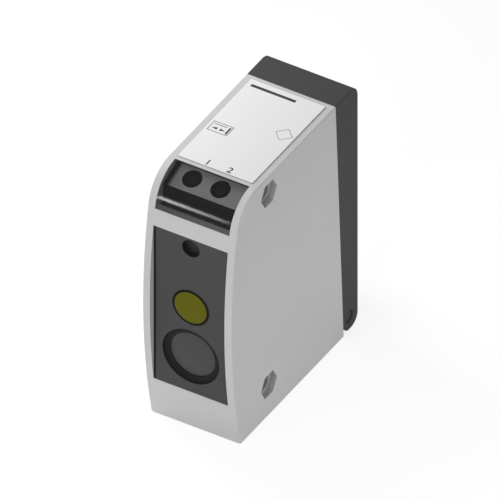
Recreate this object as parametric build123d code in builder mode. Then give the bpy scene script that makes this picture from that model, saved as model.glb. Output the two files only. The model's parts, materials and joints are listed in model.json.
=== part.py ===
from build123d import *
from math import atan2, cos, degrees, radians, sin, sqrt, tan
import os

# Driving dimensions, in millimetres and degrees
# X runs across the case, Y from its front to its back, Z up from its base

# Case
case_width = 30.5
case_height = 90.0
base_length = 59.2
front_bulge = 5.0
shoulder_radius = 12.0
seam_setback = 4.6
toe_radius = 1.0
edge_break = 0.25
side_wall = 2.4
case_wall = 2.4
fit_gap = 0.1

# Mounting bores with a nut pocket at each end
bolt_setback = 16.5
bolt_height = 11.4
bolt_top_inset = 6.5
bolt_bore = 5.4
nut_flats = 8.0
nut_pocket_depth = 4.2
cross_tube_wall = 1.15

# Front opening, its plate and its seal
frame_strip = 2.45
opening_bottom = 15.7
opening_top_inset = 16.5
frame_ledge = 1.2
frame_ledge_depth = 2.25
frame_head = 4.0
plate_recess = 0.05
plate_thickness = 2.8
seal_thickness = 0.4

# Optics
emitter_margin = 0.4
emitter_aperture = 6.0
emitter_depth = 1.5
emitter_glass = 6.8
dish_margin = 3.55
dish_diameter = 19.5
dish_depth = 1.1
dish_wall = 0.3
dish_cove = 0.8
lens_visible = 15.4
lens_flange = 18.4
lens_dome = 0.6
lens_lip = 0.3
lens_seal_thickness = 0.3

# Indicator window over the shoulder
indicator_sill = 1.65
indicator_run = 14.5
indicator_undercut = 50.0
window_recess = 0.12
window_thickness = 1.0
panel_tilt = 20.0
panel_depth = 2.94
panel_run = 12.05
panel_toe = 4.73
well_diameter = 6.2
well_pitch = 9.7
well_offset = -0.6
well_depth = 1.5
panel_thickness = 4.0
lamp_diameter = 3.0
lamp_depth = 1.2
lamp_gap = 0.1
lamp_board_thickness = 1.0
block_wall = 1.3
block_clearance = 0.13
foot_reach = 1.45
foot_rise = 1.6
foot_radius = 1.2

# Rear cover
cover_depth = 8.3
cover_lift = 0.6
cover_top_radius = 4.0
cover_end_flat = 0.2
cover_wall = 2.4
cover_floor = 9.9
dimple_diameter = 4.3
dimple_depth = 0.5
dimple_inset = 5.1
dimple_height = 5.55
rib_thickness = 1.2
rib_reach = 2.5
rib_margin = 16.0
gasket_width = 1.0
gasket_thickness = 1.2

# Cover screws and their bosses
screw_side_inset = 4.65
screw_low = 9.0
screw_top_inset = 7.5
screw_diameter = 3.0
screw_gap = 0.05
screw_head = 5.4
screw_head_height = 1.8
screw_recess_depth = 2.0
screw_recess_gap = 0.2
screw_length = 16.0
boss_wall = 1.2
boss_length = 12.0

# Connector
connector_height = 20.0
mount_thread = 15.2
hex_flats = 19.0
hex_thickness = 2.5
mating_thread = 12.0
mating_length = 10.5
socket_bore = 8.8
socket_depth = 8.0
tip_chamfer = 0.5
ring_width = 1.2
ring_gap = 0.15
nut_thickness = 2.8
lock_nut_flats = 18.0
shell_tail = 0.6
contact_diameter = 1.0
contact_circle = 5.0
contact_setback = 1.5
contact_gap = 0.03
key_width = 1.2
key_rise = 0.8
connector_board_gap = 2.5
connector_board_side = 14.8

# Boards and what they carry
board_thickness = 1.6
main_board_inset = 4.25
main_board_front = 24.6
main_board_depth = 28.0
rail_thickness = 1.2
rail_height = 3.0
rail_length = 14.0
tunnel_length = 36.0
tunnel_wall = 1.2
tunnel_front_side = 14.6
tunnel_rear_side = 8.4
tunnel_flange = 2.5
carrier_flange = 2.0
carrier_overlap_low = 4.5
carrier_overlap_high = 3.7
carrier_snap_pitch = 40.0
snap_reach = 0.5
snap_height = 6.0
stake_side = 2.0
stake_inset = 3.0
stake_rise = 0.8
barrel_diameter = 10.0
barrel_length = 20.0
barrel_seat_length = 16.0
barrel_seat_wall = 1.5
barrel_bore = 6.0
barrel_pocket = 7.1
barrel_lens_length = 2.0
barrel_lip = 0.6
diode_base = 1.5
diode_can = 4.7
diode_can_length = 3.5
lead_spacing = 2.54
lead_width = 0.45
lead_length = 6.0
detector_side = 7.8
detector_length = 3.5
filter_side = 7.0
filter_thickness = 1.0
receiver_board_side_gap = 1.05
receiver_board_main_gap = 1.0
receiver_board_height = 30.0
header_length = 16.0
header_section = 2.5
cable_width = 8.0
cable_thickness = 0.3
cable_side = 3.0
cable_bend = 2.0
cable_socket_inset = 2.0
cable_socket_depth = 3.0
cable_socket_rise = 2.0
cable_socket_end = 1.0
chip_rise = 15.0
processor_side = 10.0
processor_thickness = 1.4
processor_setback = 15.0
timing_side = 7.0
timing_thickness = 1.2
timing_setback = 5.0
inductor_side = 7.0
inductor_thickness = 3.5
inductor_setback = 17.0
inductor_rise = 3.0
capacitor_drop = 14.6
capacitor_setback = 16.5
capacitor_pitch = 6.0
capacitor_diameter = 5.0
capacitor_length = 6.0

# Label and marker
label_length = 42.0
label_run = 16.0
label_thickness = 0.25
marker_diameter = 12.5
marker_rise = 18.5
marker_thickness = 0.15

# Places worked out from the driving dimensions
half_width = case_width / 2
mid_height = case_height / 2
front_y = -base_length / 2
seam_y = base_length / 2
nose_y = front_y - front_bulge
rear_y = seam_y + cover_depth
seam_lean = degrees(atan2(seam_setback, case_height))
front_radius = (mid_height**2 + front_bulge**2) / (2 * front_bulge)
front_centre_y = nose_y + front_radius
cavity_half = half_width - side_wall
opening_half = half_width - frame_strip
roof_inside = case_height - case_wall
opening_top = case_height - opening_top_inset
frame_head_z = opening_top + frame_head
indicator_low = frame_head_z + indicator_sill
emitter_height = opening_top - emitter_margin - emitter_glass / 2
receiver_height = opening_bottom + dish_margin + dish_diameter / 2
marker_height = receiver_height + marker_rise


def front_surface_y(z):
    """Depth of the bulged front at height z."""
    return front_centre_y - sqrt(front_radius**2 - (z - mid_height) ** 2)


def seam_y_at(z):
    """Depth of the slanted seam at height z."""
    return seam_y - seam_setback * z / case_height


def facing_front(y):
    """Upright plane at depth y, seen from the front."""
    return Plane.XZ.offset(-y)


def case_outline(inset=0.0):
    """Side view of the case, drawn in by the inset."""
    with BuildSketch() as outline:
        with BuildLine():
            base = Line((front_y, 0), (seam_y, 0))
            seam = Line(base @ 1, (seam_y - seam_setback, case_height))
            roof = Line(seam @ 1, (front_y, case_height))
            ThreePointArc(roof @ 1, (nose_y, mid_height), base @ 0)
        make_face()
        fillet(outline.vertices().group_by(Axis.X)[0].sort_by(Axis.Y)[-1], shoulder_radius)
        fillet(outline.vertices().sort_by_distance((front_y, 0))[0], toe_radius)
        if inset:
            offset(amount=-inset, kind=Kind.INTERSECTION)
    return outline.sketch


seam_plane = Plane(
    origin=(0, seam_y, 0),
    x_dir=(1, 0, 0),
    z_dir=(0, -cos(radians(seam_lean)), -sin(radians(seam_lean))),
)
mouth_bottom = case_wall / cos(radians(seam_lean))
mouth_top = roof_inside / cos(radians(seam_lean))
mouth_middle = (mouth_bottom + mouth_top) / 2
mouth_height = mouth_top - mouth_bottom

bolt_y = front_y + bolt_setback
bolt_heights = (bolt_height, case_height - bolt_top_inset)
cross_tube_radius = nut_flats / sqrt(3) + cross_tube_wall

plate_front_y = max(front_surface_y(opening_bottom), front_surface_y(opening_top)) + plate_recess
plate_back_y = plate_front_y + plate_thickness
ledge_y = plate_back_y + seal_thickness
frame_back_y = ledge_y + frame_ledge_depth
opening_middle = (opening_bottom + opening_top) / 2
opening_height = opening_top - opening_bottom

screw_high = case_height - screw_top_inset
screw_x = half_width - screw_side_inset
screw_places = ((-screw_x, screw_low), (screw_x, screw_high))
screw_radius = screw_diameter / 2
boss_side = 2 * (screw_radius + screw_gap + boss_wall)
screw_seat_y = rear_y - screw_recess_depth
screw_tip_y = screw_seat_y - screw_length
back_plane = Plane(origin=(0, rear_y, 0), x_dir=(-1, 0, 0), z_dir=(0, 1, 0))
screw_points = [(-x, z) for x, z in screw_places]

carrier_bottom = opening_bottom - carrier_overlap_low
carrier_top = opening_top + carrier_overlap_high
carrier_middle = (carrier_bottom + carrier_top) / 2
carrier_back_y = frame_back_y + carrier_flange
snap_places = []
for snap_side in (-1, 1):
    for snap_z in (carrier_middle - carrier_snap_pitch / 2, carrier_middle + carrier_snap_pitch / 2):
        snap_places.append((snap_side * cavity_half, snap_z))

main_board_side = cavity_half - main_board_inset
main_board_y = front_y + main_board_front
main_board_rear = main_board_y + main_board_depth
rail_middle_y = main_board_y + rail_length / 2
rail_offset = board_thickness / 2 + fit_gap + rail_thickness / 2
main_board_middle = main_board_side + board_thickness / 2

# Hollow of the housing, less the tubes, bosses and rails that stay in it
with BuildPart() as housing_hollow:
    with BuildSketch(Plane.YZ):
        add(case_outline(case_wall))
        with Locations((0, mid_height)):
            Rectangle(seam_y + case_wall, roof_inside - case_wall, align=(Align.MIN, Align.CENTER))
        with Locations((frame_back_y, 0)):
            Rectangle(case_width, opening_top + frame_head, align=(Align.MAX, Align.MIN), mode=Mode.SUBTRACT)
    extrude(amount=cavity_half, both=True)
    with BuildSketch(Plane.YZ):
        with Locations(*[(bolt_y, z) for z in bolt_heights]):
            Circle(cross_tube_radius)
    extrude(amount=case_width, both=True, mode=Mode.SUBTRACT)
    for x, z in screw_places:
        with BuildSketch(facing_front(seam_y_at(z) - boss_length)):
            with Locations((x, z)):
                Rectangle(boss_side, boss_side)
        extrude(amount=-(boss_length + 2 * seam_setback), mode=Mode.SUBTRACT)
    for foot_z, rise in ((case_wall, rail_height), (roof_inside, -rail_height)):
        with BuildSketch(Plane.XY.offset(foot_z)):
            with Locations(
                (main_board_middle - rail_offset, rail_middle_y),
                (main_board_middle + rail_offset, rail_middle_y),
            ):
                Rectangle(rail_thickness, rail_length)
        extrude(amount=rise, mode=Mode.SUBTRACT)

# Indicator opening: square below, undercut at the roof so that the window tucks in
indicator_rear_y = nose_y + indicator_run
undercut_run = case_wall * tan(radians(indicator_undercut))


def indicator_region(gap=0.0):
    """Side view of the space that the window fills, from the front to the undercut edge of the roof."""
    rise = 1.0
    rise_run = rise * tan(radians(indicator_undercut))
    with BuildSketch() as region:
        with BuildLine():
            Polyline(
                (nose_y - rise, indicator_low + gap),
                (bolt_y - cross_tube_radius - shoulder_radius / 3, indicator_low + gap),
                (indicator_rear_y + undercut_run - gap, roof_inside),
                (indicator_rear_y - rise_run - gap, case_height + rise),
                (nose_y - rise, case_height + rise),
                close=True,
            )
        make_face()
    return region.sketch


# Housing
with BuildPart() as housing:
    with BuildSketch(Plane.YZ):
        add(case_outline())
    extrude(amount=half_width, both=True)
    side_edges = faces().filter_by(Axis.X).edges()
    chamfer(side_edges.filter_by(GeomType.CIRCLE) + side_edges.filter_by(Axis.Y), edge_break)
    add(housing_hollow.part, mode=Mode.SUBTRACT)
    with BuildSketch(facing_front(ledge_y)):
        with Locations((0, opening_middle)):
            Rectangle(2 * opening_half, opening_height)
    extrude(amount=ledge_y - nose_y, mode=Mode.SUBTRACT)
    with BuildSketch(facing_front(frame_back_y)):
        with Locations((0, opening_middle)):
            Rectangle(2 * (opening_half - frame_ledge), opening_height - 2 * frame_ledge)
    extrude(amount=frame_back_y - nose_y, mode=Mode.SUBTRACT)
    with BuildSketch(Plane.YZ):
        add(indicator_region())
    extrude(amount=opening_half, both=True, mode=Mode.SUBTRACT)
    for side in (-1, 1):
        with BuildSketch(Plane.YZ.offset(side * half_width)):
            with Locations(*[(bolt_y, z) for z in bolt_heights]):
                RegularPolygon(nut_flats / 2, 6, major_radius=False)
        extrude(amount=-side * nut_pocket_depth, mode=Mode.SUBTRACT)
    with BuildSketch(Plane.YZ):
        with Locations(*[(bolt_y, z) for z in bolt_heights]):
            Circle(bolt_bore / 2)
    extrude(amount=half_width, both=True, mode=Mode.SUBTRACT)
    with BuildSketch(seam_plane):
        with Locations((0, mouth_middle)):
            Rectangle(2 * (cavity_half + gasket_width), mouth_height + 2 * gasket_width)
            Rectangle(2 * cavity_half, mouth_height, mode=Mode.SUBTRACT)
    extrude(amount=gasket_thickness, mode=Mode.SUBTRACT)
    with BuildSketch(facing_front(screw_tip_y - screw_gap)):
        with Locations(*screw_places):
            Circle(screw_radius + screw_gap)
    extrude(amount=-boss_length, mode=Mode.SUBTRACT)
    with BuildSketch(facing_front(carrier_back_y + fit_gap)):
        with Locations(*snap_places):
            Rectangle(2 * (snap_reach + fit_gap), snap_height + 2 * fit_gap)
    extrude(amount=carrier_flange + fit_gap, mode=Mode.SUBTRACT)
housing.part.label = "housing"
os.makedirs("parts", exist_ok=True)
export_step(housing.part, "parts/housing.step")

# Hollow of the rear cover, less its screw pillars and the roots of its ribs
cover_end_radius = (cover_depth - cover_end_flat) / 2
blank_front_y = seam_y - 2 * seam_setback
rib_height = mouth_height - 2 * rib_margin
with BuildPart() as cover_hollow:
    with BuildSketch(Plane.YZ):
        with BuildLine():
            Polyline(
                (blank_front_y, cover_floor),
                (rear_y - cover_wall, cover_floor),
                (rear_y - cover_wall, roof_inside),
                (blank_front_y, roof_inside),
                close=True,
            )
        make_face()
        fillet(vertices().sort_by(SortBy.DISTANCE)[-1], cover_top_radius - cover_wall)
    extrude(amount=cavity_half, both=True)
    with BuildSketch(back_plane):
        with Locations(*screw_points):
            Rectangle(boss_side, boss_side)
    extrude(amount=-cover_depth - 2 * seam_setback, mode=Mode.SUBTRACT)
    with BuildSketch(seam_plane):
        for side in (-1, 1):
            with Locations((side * cavity_half, mouth_middle)):
                Rectangle(2 * (rib_thickness + fit_gap), rib_height)
    extrude(amount=-rib_reach, mode=Mode.SUBTRACT)

# Rear cover
outlet = Plane(origin=(0, rear_y, connector_height), x_dir=(-1, 0, 0), z_dir=(0, 1, 0))
with BuildPart() as rear_cover:
    with BuildSketch(Plane.YZ):
        with BuildLine():
            Polyline(
                (blank_front_y, cover_lift),
                (rear_y, cover_lift),
                (rear_y, case_height),
                (blank_front_y, case_height),
                close=True,
            )
        make_face()
        fillet(vertices().group_by(Axis.X)[-1].sort_by(Axis.Y)[0], cover_end_radius)
        fillet(vertices().group_by(Axis.X)[-1].sort_by(Axis.Y)[-1], cover_top_radius)
    extrude(amount=half_width, both=True)
    chamfer(faces().filter_by(Axis.X).edges(), edge_break)
    with BuildSketch(Plane.YZ):
        with BuildLine():
            Polyline(
                (seam_y_at(cover_lift), cover_lift),
                (rear_y, cover_lift),
                (rear_y, 2 * case_height),
                (seam_y_at(2 * case_height), 2 * case_height),
                close=True,
            )
        make_face()
        fillet(vertices().group_by(Axis.Y)[0].sort_by(Axis.X)[0], cover_end_radius)
    extrude(amount=case_width, both=True, mode=Mode.INTERSECT)
    add(cover_hollow.part, mode=Mode.SUBTRACT)
    with BuildSketch(seam_plane):
        for side in (-1, 1):
            with Locations((side * (cavity_half - fit_gap - rib_thickness / 2), mouth_middle)):
                Rectangle(rib_thickness, rib_height)
    extrude(amount=rib_reach)
    with BuildSketch(back_plane):
        with Locations(*screw_points):
            Circle(screw_head / 2 + screw_recess_gap)
    extrude(amount=-screw_recess_depth, mode=Mode.SUBTRACT)
    with BuildSketch(back_plane):
        with Locations(*screw_points):
            Circle(screw_radius + screw_gap)
    extrude(amount=-cover_depth - 2 * seam_setback, mode=Mode.SUBTRACT)
    with BuildSketch(outlet):
        Circle(mount_thread / 2 + screw_gap)
    extrude(amount=-cover_wall - fit_gap, mode=Mode.SUBTRACT)
    for side in (-1, 1):
        with BuildSketch(Plane.YZ.offset(side * half_width)):
            with Locations((rear_y - dimple_inset, dimple_height)):
                Circle(dimple_diameter / 2)
        extrude(amount=-side * dimple_depth, mode=Mode.SUBTRACT)
rear_cover.part.label = "rear_cover"
export_step(rear_cover.part, "parts/rear_cover.step")

# Gasket in the rebate round the mouth of the housing
with BuildPart() as cover_gasket:
    with BuildSketch(seam_plane):
        with Locations((0, mouth_middle)):
            Rectangle(
                2 * (cavity_half + gasket_width - screw_gap),
                mouth_height + 2 * (gasket_width - screw_gap),
            )
            Rectangle(2 * cavity_half, mouth_height, mode=Mode.SUBTRACT)
    extrude(amount=gasket_thickness)
cover_gasket.part.label = "cover_gasket"
export_step(cover_gasket.part, "parts/cover_gasket.step")

# Two equal screws that hold the cover, at opposite corners
head_plane = back_plane.offset(-screw_recess_depth)
socket_flats = screw_diameter * 2 / 3
with BuildPart() as cover_screws:
    with BuildSketch(head_plane):
        with Locations(*screw_points):
            Circle(screw_head / 2)
    extrude(amount=screw_head_height)
    chamfer(edges().group_by(Axis.Y)[-1], screw_head_height / 5)
    with BuildSketch(head_plane):
        with Locations(*screw_points):
            Circle(screw_radius)
    extrude(amount=-screw_length)
    with BuildSketch(head_plane.offset(screw_head_height)):
        with Locations(*screw_points):
            RegularPolygon(socket_flats / 2, 6, major_radius=False)
    extrude(amount=-screw_head_height * 2 / 3, mode=Mode.SUBTRACT)
cover_screws.part.label = "cover_screws"
export_step(cover_screws.part, "parts/cover_screws.step")

# Front plate with the emitting aperture and the dished receiving opening
receiver_axis = Axis((0, 0, receiver_height), (0, 1, 0))
emitter_axis = Axis((0, 0, emitter_height), (0, 1, 0))
lens_seat_y = plate_front_y + dish_depth + lens_lip
lens_back_y = plate_back_y - lens_seal_thickness
dish_radius = dish_diameter / 2
lens_radius = lens_visible / 2
with BuildPart() as front_plate:
    with BuildSketch(facing_front(plate_back_y)):
        with Locations((0, opening_middle)):
            Rectangle(2 * (opening_half - fit_gap), opening_height - 2 * fit_gap)
    extrude(amount=plate_thickness)
    with BuildSketch(facing_front(plate_back_y)):
        with Locations((0, emitter_height)):
            Circle(emitter_aperture / 2)
        with Locations((0, receiver_height)):
            Circle(lens_radius)
    extrude(amount=plate_thickness, mode=Mode.SUBTRACT)
    with BuildSketch(facing_front(plate_back_y)):
        with Locations((0, emitter_height)):
            Circle(emitter_glass / 2 + screw_gap)
    extrude(amount=plate_thickness - emitter_depth, mode=Mode.SUBTRACT)
    with BuildSketch(facing_front(plate_back_y)):
        with Locations((0, receiver_height)):
            Circle(lens_flange / 2 + fit_gap)
    extrude(amount=plate_back_y - lens_seat_y, mode=Mode.SUBTRACT)
    with BuildSketch(Plane.YZ):
        with BuildLine():
            mouth = Line(
                (plate_front_y - dish_depth, receiver_height + dish_radius),
                (plate_front_y, receiver_height + dish_radius),
            )
            Polyline(
                mouth @ 1,
                (plate_front_y + dish_wall, receiver_height + dish_radius),
                (plate_front_y + dish_depth - dish_cove / 4, receiver_height + dish_radius - dish_cove / 3),
                (plate_front_y + dish_depth, receiver_height + dish_radius - dish_cove),
                (plate_front_y + dish_depth, receiver_height),
                (plate_front_y - dish_depth, receiver_height),
                mouth @ 0,
            )
        make_face()
    revolve(axis=receiver_axis, mode=Mode.SUBTRACT)
front_plate.part.label = "front_plate"
export_step(front_plate.part, "parts/front_plate.step")

# Flat seal between the plate and the ledge of the frame
with BuildPart() as front_seal:
    with BuildSketch(facing_front(ledge_y)):
        with Locations((0, opening_middle)):
            Rectangle(2 * (opening_half - fit_gap), opening_height - 2 * fit_gap)
            Rectangle(
                2 * (opening_half - frame_ledge),
                opening_height - 2 * frame_ledge,
                mode=Mode.SUBTRACT,
            )
    extrude(amount=seal_thickness)
front_seal.part.label = "front_seal"
export_step(front_seal.part, "parts/front_seal.step")

# Window of the emitter
with BuildPart() as emitter_window:
    with BuildSketch(facing_front(plate_back_y)):
        with Locations((0, emitter_height)):
            Circle(emitter_glass / 2)
    extrude(amount=plate_thickness - emitter_depth)
emitter_window.part.label = "emitter_window"
export_step(emitter_window.part, "parts/emitter_window.step")

# Receiver lens: flat behind, with a flange round the shallow dome of its front
clear_radius = lens_radius - fit_gap
with BuildPart() as receiver_lens:
    with BuildSketch(Plane.YZ):
        with BuildLine():
            front_dome = ThreePointArc(
                (lens_seat_y, receiver_height - clear_radius),
                (lens_seat_y - lens_dome, receiver_height),
                (lens_seat_y, receiver_height + clear_radius),
            )
            Polyline(
                front_dome @ 1,
                (lens_seat_y, receiver_height + lens_flange / 2),
                (lens_back_y, receiver_height + lens_flange / 2),
                (lens_back_y, receiver_height - lens_flange / 2),
                (lens_seat_y, receiver_height - lens_flange / 2),
                front_dome @ 0,
            )
        make_face()
        split(bisect_by=Plane.XZ.offset(-receiver_height))
    revolve(axis=receiver_axis)
receiver_lens.part.label = "receiver_lens"
export_step(receiver_lens.part, "parts/receiver_lens.step")

# Seal ring behind the flange of the lens
with BuildPart() as lens_seal:
    with BuildSketch(facing_front(plate_back_y)):
        with Locations((0, receiver_height)):
            Circle(lens_flange / 2)
            Circle(lens_radius + lens_lip, mode=Mode.SUBTRACT)
    extrude(amount=lens_seal_thickness)
lens_seal.part.label = "lens_seal"
export_step(lens_seal.part, "parts/lens_seal.step")

# Smoky window that follows the shoulder and tucks under the edge of the roof
with BuildPart() as indicator_window:
    with BuildSketch(Plane.YZ):
        add(case_outline(window_recess))
        add(case_outline(window_recess + window_thickness), mode=Mode.SUBTRACT)
        add(indicator_region(screw_gap), mode=Mode.INTERSECT)
    extrude(amount=opening_half - fit_gap, both=True)
indicator_window.part.label = "indicator_window"
export_step(indicator_window.part, "parts/indicator_window.step")

# Tilted panel of the two lamps: a moulded block, open behind and below, on a foot
panel_y = nose_y + panel_run
panel_z = case_height - panel_depth
tilt_sin = sin(radians(panel_tilt))
tilt_cos = cos(radians(panel_tilt))
fold_y = panel_y - panel_toe * tilt_cos
fold_z = panel_z - panel_toe * tilt_sin
block_rear_y = bolt_y - cross_tube_radius - block_clearance
block_half = opening_half - fit_gap
panel_plane = Plane(origin=(0, panel_y, panel_z), x_dir=(1, 0, 0), z_dir=(0, -tilt_sin, tilt_cos))
lamp_places = ((well_offset - well_pitch / 2, 0), (well_offset + well_pitch / 2, 0))


def panel_z_at(y, depth=0.0):
    """Height of the tilted panel at depth y, or of a plane below it."""
    return panel_z + (y - panel_y) * tan(radians(panel_tilt)) - depth / tilt_cos


foot_front = (fold_y - foot_reach, frame_head_z + foot_rise)
foot_root = (fold_y, frame_head_z + foot_rise)
with BuildPart() as indicator_block:
    with BuildSketch(Plane.YZ):
        with BuildLine():
            Polyline(
                (fold_y - foot_reach, frame_head_z),
                foot_front,
                foot_root,
                (fold_y, fold_z),
                (block_rear_y, panel_z_at(block_rear_y)),
                (block_rear_y, frame_head_z),
                close=True,
            )
        make_face()
        fillet(vertices().sort_by_distance((fold_y, fold_z))[0], foot_radius / 2)
        fillet(vertices().sort_by_distance(foot_root)[0], foot_radius)
        fillet(vertices().sort_by_distance(foot_front)[0], foot_radius / 6)
    extrude(amount=block_half, both=True)
    with BuildSketch(Plane.YZ):
        with BuildLine():
            Polyline(
                (fold_y + block_wall, 0),
                (fold_y + block_wall, panel_z_at(fold_y + block_wall, panel_thickness)),
                (seam_y, panel_z_at(seam_y, panel_thickness)),
                (seam_y, 0),
                close=True,
            )
        make_face()
    extrude(amount=block_half - block_wall, both=True, mode=Mode.SUBTRACT)
    with BuildSketch(panel_plane):
        with Locations(*lamp_places):
            Circle(well_diameter / 2)
    extrude(amount=-well_depth, mode=Mode.SUBTRACT)
    with BuildSketch(panel_plane):
        with Locations(*lamp_places):
            Circle(lamp_diameter / 2 + lamp_gap)
    extrude(amount=-panel_thickness, mode=Mode.SUBTRACT)
indicator_block.part.label = "indicator_block"
export_step(indicator_block.part, "parts/indicator_block.step")

# Board of the lamps, against the underside of the panel
tilt_tan = tan(radians(panel_tilt))
lamp_board_front = (panel_y - fold_y - block_wall - fit_gap) / tilt_cos + panel_thickness * tilt_tan
lamp_board_back = (block_rear_y - panel_y) / tilt_cos - (panel_thickness + lamp_board_thickness) * tilt_tan
with BuildPart() as indicator_board:
    with BuildSketch(panel_plane.offset(-panel_thickness)):
        with Locations((0, (lamp_board_back - lamp_board_front) / 2)):
            Rectangle(2 * (block_half - block_wall - fit_gap), lamp_board_back + lamp_board_front)
    extrude(amount=-lamp_board_thickness)
indicator_board.part.label = "indicator_board"
export_step(indicator_board.part, "parts/indicator_board.step")

# Two light guides of the lamps in the wells
for lamp_name, lamp_place in zip(("indicator_led_left", "indicator_led_right"), lamp_places):
    with BuildPart() as lamp:
        with BuildSketch(panel_plane.offset(-panel_thickness)):
            with Locations(lamp_place):
                Circle(lamp_diameter / 2)
        extrude(amount=panel_thickness - lamp_depth)
    lamp.part.label = lamp_name
    export_step(lamp.part, f"parts/{lamp_name}.step")

# Carrier of the optics: flange behind the frame, boss, receiving tunnel and seat of the laser
tunnel_end_y = plate_back_y + tunnel_length
barrel_radius = barrel_diameter / 2
barrel_front_y = frame_back_y
seat_end_y = barrel_front_y + barrel_seat_length
board_left_x = receiver_board_side_gap - cavity_half
board_right_x = main_board_side - receiver_board_main_gap
board_middle_x = (board_left_x + board_right_x) / 2
board_width = board_right_x - board_left_x
receiver_board_back_y = tunnel_end_y + board_thickness
stake_rise_z = receiver_board_height / 2 - stake_inset
stake_places = (
    (board_left_x + stake_inset, receiver_height + stake_rise_z),
    (board_right_x - stake_inset, receiver_height - stake_rise_z),
)
tunnel_side = tunnel_front_side + 2 * tunnel_wall
tunnel_inset = (tunnel_front_side - tunnel_rear_side) / 2
tunnel_align = (Align.CENTER, Align.MIN, Align.CENTER)
with BuildPart() as optics_carrier:
    with BuildSketch(facing_front(carrier_back_y)):
        with Locations((0, carrier_middle)):
            Rectangle(2 * (cavity_half - fit_gap), carrier_top - carrier_bottom)
    extrude(amount=carrier_flange)
    with BuildSketch(facing_front(frame_back_y)):
        with Locations((0, opening_middle)):
            Rectangle(
                2 * (opening_half - frame_ledge - fit_gap),
                opening_height - 2 * frame_ledge - 2 * fit_gap,
            )
    extrude(amount=frame_back_y - plate_back_y)
    with BuildSketch(facing_front(carrier_back_y)):
        with Locations(*snap_places):
            Rectangle(2 * snap_reach, snap_height)
    extrude(amount=carrier_flange)
    with Locations((0, plate_back_y, receiver_height)):
        Wedge(
            tunnel_side,
            tunnel_length,
            tunnel_side,
            tunnel_inset,
            tunnel_inset,
            tunnel_side - tunnel_inset,
            tunnel_side - tunnel_inset,
            align=tunnel_align,
        )
    with BuildSketch(facing_front(tunnel_end_y)):
        with Locations((board_middle_x, receiver_height)):
            Rectangle(board_width - 2 * fit_gap, receiver_board_height)
    extrude(amount=tunnel_flange)
    with BuildSketch(facing_front(tunnel_end_y)):
        with Locations(*stake_places):
            Rectangle(stake_side, stake_side)
    extrude(amount=-board_thickness - stake_rise)
    with BuildSketch(facing_front(seat_end_y)):
        with Locations((0, emitter_height)):
            Circle(barrel_radius + screw_gap + barrel_seat_wall)
    extrude(amount=barrel_seat_length)
    with Locations((0, plate_back_y, receiver_height)):
        Wedge(
            tunnel_front_side,
            tunnel_length,
            tunnel_front_side,
            tunnel_inset,
            tunnel_inset,
            tunnel_front_side - tunnel_inset,
            tunnel_front_side - tunnel_inset,
            align=tunnel_align,
            mode=Mode.SUBTRACT,
        )
    with BuildSketch(facing_front(seat_end_y)):
        with Locations((0, emitter_height)):
            Circle(barrel_radius + screw_gap)
    extrude(amount=barrel_seat_length, mode=Mode.SUBTRACT)
    with BuildSketch(facing_front(frame_back_y)):
        with Locations((0, emitter_height)):
            Circle(emitter_aperture * 3 / 8)
    extrude(amount=frame_back_y - plate_back_y, mode=Mode.SUBTRACT)
optics_carrier.part.label = "optics_carrier"
export_step(optics_carrier.part, "parts/optics_carrier.step")

# Laser module: barrel glued in its seat, collimating lens and the diode pressed in behind
barrel_end_y = barrel_front_y + barrel_length
lens_pocket = barrel_lens_length + barrel_lip
diode_seat_y = barrel_end_y - diode_base
with BuildPart() as laser_barrel:
    with BuildSketch(facing_front(barrel_end_y)):
        with Locations((0, emitter_height)):
            Circle(barrel_radius)
    extrude(amount=barrel_length)
    with BuildSketch(facing_front(barrel_end_y)):
        with Locations((0, emitter_height)):
            Circle(barrel_bore / 2)
    extrude(amount=barrel_length, mode=Mode.SUBTRACT)
    with BuildSketch(facing_front(barrel_front_y + lens_pocket)):
        with Locations((0, emitter_height)):
            Circle(barrel_pocket / 2)
    extrude(amount=lens_pocket, mode=Mode.SUBTRACT)
    with BuildSketch(facing_front(barrel_end_y)):
        with Locations((0, emitter_height)):
            Circle(barrel_pocket / 2)
    extrude(amount=barrel_end_y - diode_seat_y, mode=Mode.SUBTRACT)
laser_barrel.part.label = "laser_barrel"
export_step(laser_barrel.part, "parts/laser_barrel.step")

with BuildPart() as collimating_lens:
    with BuildSketch(Plane.YZ):
        with BuildLine():
            lens_back = barrel_front_y + lens_pocket
            pocket_radius = barrel_pocket / 2 - screw_gap
            front_face = ThreePointArc(
                (lens_back - barrel_lens_length / 2, emitter_height + pocket_radius),
                (lens_back - barrel_lens_length, emitter_height),
                (lens_back - barrel_lens_length / 2, emitter_height - pocket_radius),
            )
            Polyline(
                front_face @ 1,
                (lens_back, emitter_height - pocket_radius),
                (lens_back, emitter_height + pocket_radius),
                front_face @ 0,
            )
        make_face()
        split(bisect_by=Plane.XZ.offset(-emitter_height))
    revolve(axis=emitter_axis)
collimating_lens.part.label = "collimating_lens"
export_step(collimating_lens.part, "parts/collimating_lens.step")

with BuildPart() as laser_diode:
    with BuildSketch(facing_front(diode_seat_y + diode_base)):
        with Locations((0, emitter_height)):
            Circle(barrel_pocket / 2 - screw_gap)
    extrude(amount=diode_base)
    with BuildSketch(facing_front(diode_seat_y)):
        with Locations((0, emitter_height)):
            Circle(diode_can / 2)
    extrude(amount=diode_can_length)
    with BuildSketch(facing_front(diode_seat_y + diode_base)):
        with Locations((0, emitter_height)):
            with PolarLocations(lead_spacing / 2, 3):
                Rectangle(lead_width, lead_width)
    extrude(amount=-lead_length)
laser_diode.part.label = "laser_diode"
export_step(laser_diode.part, "parts/laser_diode.step")

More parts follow.
